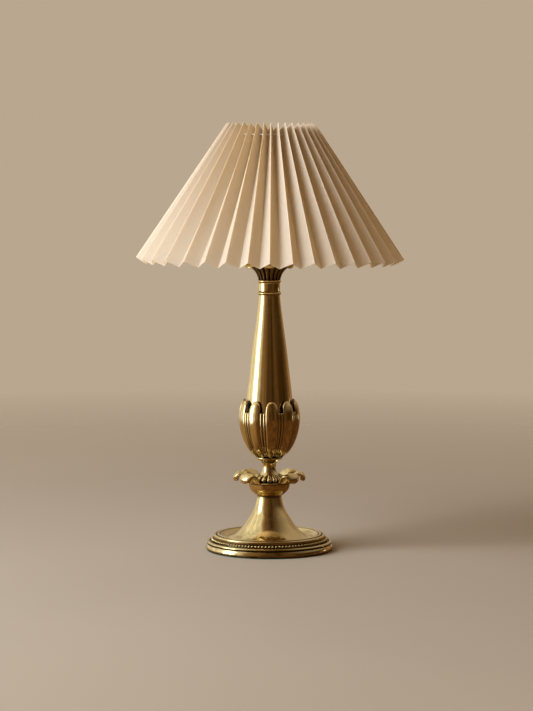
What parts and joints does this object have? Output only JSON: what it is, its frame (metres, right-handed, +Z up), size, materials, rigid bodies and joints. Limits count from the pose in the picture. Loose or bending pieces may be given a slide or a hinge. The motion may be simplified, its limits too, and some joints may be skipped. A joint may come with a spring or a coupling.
{
  "type": "candlestick lamp",
  "caption": "Tall turned brass candlestick table lamp with a beaded round foot, petalled collar, leaf calyx, tapered column and a pleated conical shade.",
  "frame": {"origin": "centre of the felt underside, on the table", "axes": "+Z up along the lamp's axis, +Y towards the back where the cord enters, +X to the right seen from the front"},
  "size_m": [0.306, 0.306, 0.4897],
  "materials": {
    "polished_brass": "hand-polished antique brass, darker in the hollows",
    "felt_green": "dark green baize",
    "plate_steel": "plain sheet steel",
    "iron": "rough cast",
    "tube_steel": "zinc plated, threaded",
    "fastener_steel": "zinc plated",
    "tag_brass": "bright, unpolished",
    "bush_plastic": "dark brown moulded",
    "holder_brass": "plain turned brass",
    "insulator": "dark brown phenolic moulding",
    "contact_brass": "spring brass",
    "push_bar": "black moulding",
    "carrier_wire": "lacquered brass wire",
    "shade_fabric": "ivory, stiffened and pleated",
    "gather_thread": "twisted cotton",
    "bulb_solder": "solder",
    "bulb_metal": "thin pressed shell",
    "bulb_glass": "lightly frosted",
    "bulb_inner": "clear stem",
    "filament": "fine wire"
  },
  "bodies": {
    "root": {"felt_pad": "felt_green", "base_plate": "plate_steel", "foot": "polished_brass", "bead_ring": "polished_brass", "base_weight": "iron", "lock_washer": "fastener_steel", "earth_tag": "tag_brass", "lower_nut": "fastener_steel", "threaded_tube": "tube_steel", "cord_bush": "bush_plastic", "lower_bowl": "polished_brass", "petal_collar": "polished_brass", "neck_spindle": "polished_brass", "neck_ring": "polished_brass", "calyx": "polished_brass", "column": "polished_brass", "lower_ring": "polished_brass", "necking": "polished_brass", "upper_ring": "polished_brass", "capital": "polished_brass", "drip_pan": "polished_brass", "holder_locknut": "fastener_steel", "holder_cap": "holder_brass", "holder_insulator": "insulator", "terminal_screws": "fastener_steel", "centre_contact": "contact_brass", "screw_shell": "contact_brass", "holder_sleeve": "holder_brass"},
    "switch_bar": {"push_bar": "push_bar"},
    "keeper": {"shade_keeper": "holder_brass"},
    "carrier": {"shade_carrier": "carrier_wire"},
    "shade": {"pleated_shade": "shade_fabric", "gather_cord": "gather_thread"},
    "bulb": {"bulb_contact": "bulb_solder", "bulb_cap": "bulb_metal", "bulb_glass": "bulb_glass", "bulb_stem": "bulb_inner", "bulb_filament": "filament"}
  },
  "joints": [
    {"name": "switch_push", "type": "slide", "parent": "root", "child": "switch_bar", "axis": [-1, 0, 0], "range_m": [0, 0.005]},
    {"name": "keeper_turn", "type": "hinge", "parent": "root", "child": "keeper", "pos_m": [0, 0, 0.3538], "axis": [0, 0, 1], "continuous": true},
    {"name": "carrier_turn", "type": "hinge", "parent": "root", "child": "carrier", "pos_m": [0, 0, 0.3502], "axis": [0, 0, 1], "continuous": true},
    {"name": "shade_lift", "type": "slide", "parent": "carrier", "child": "shade", "axis": [0, 0, 1], "range_m": [0, 0.13]},
    {"name": "bulb_out", "type": "slide", "parent": "root", "child": "bulb", "axis": [0, 0, 1], "range_m": [0, 0.135]}
  ]
}
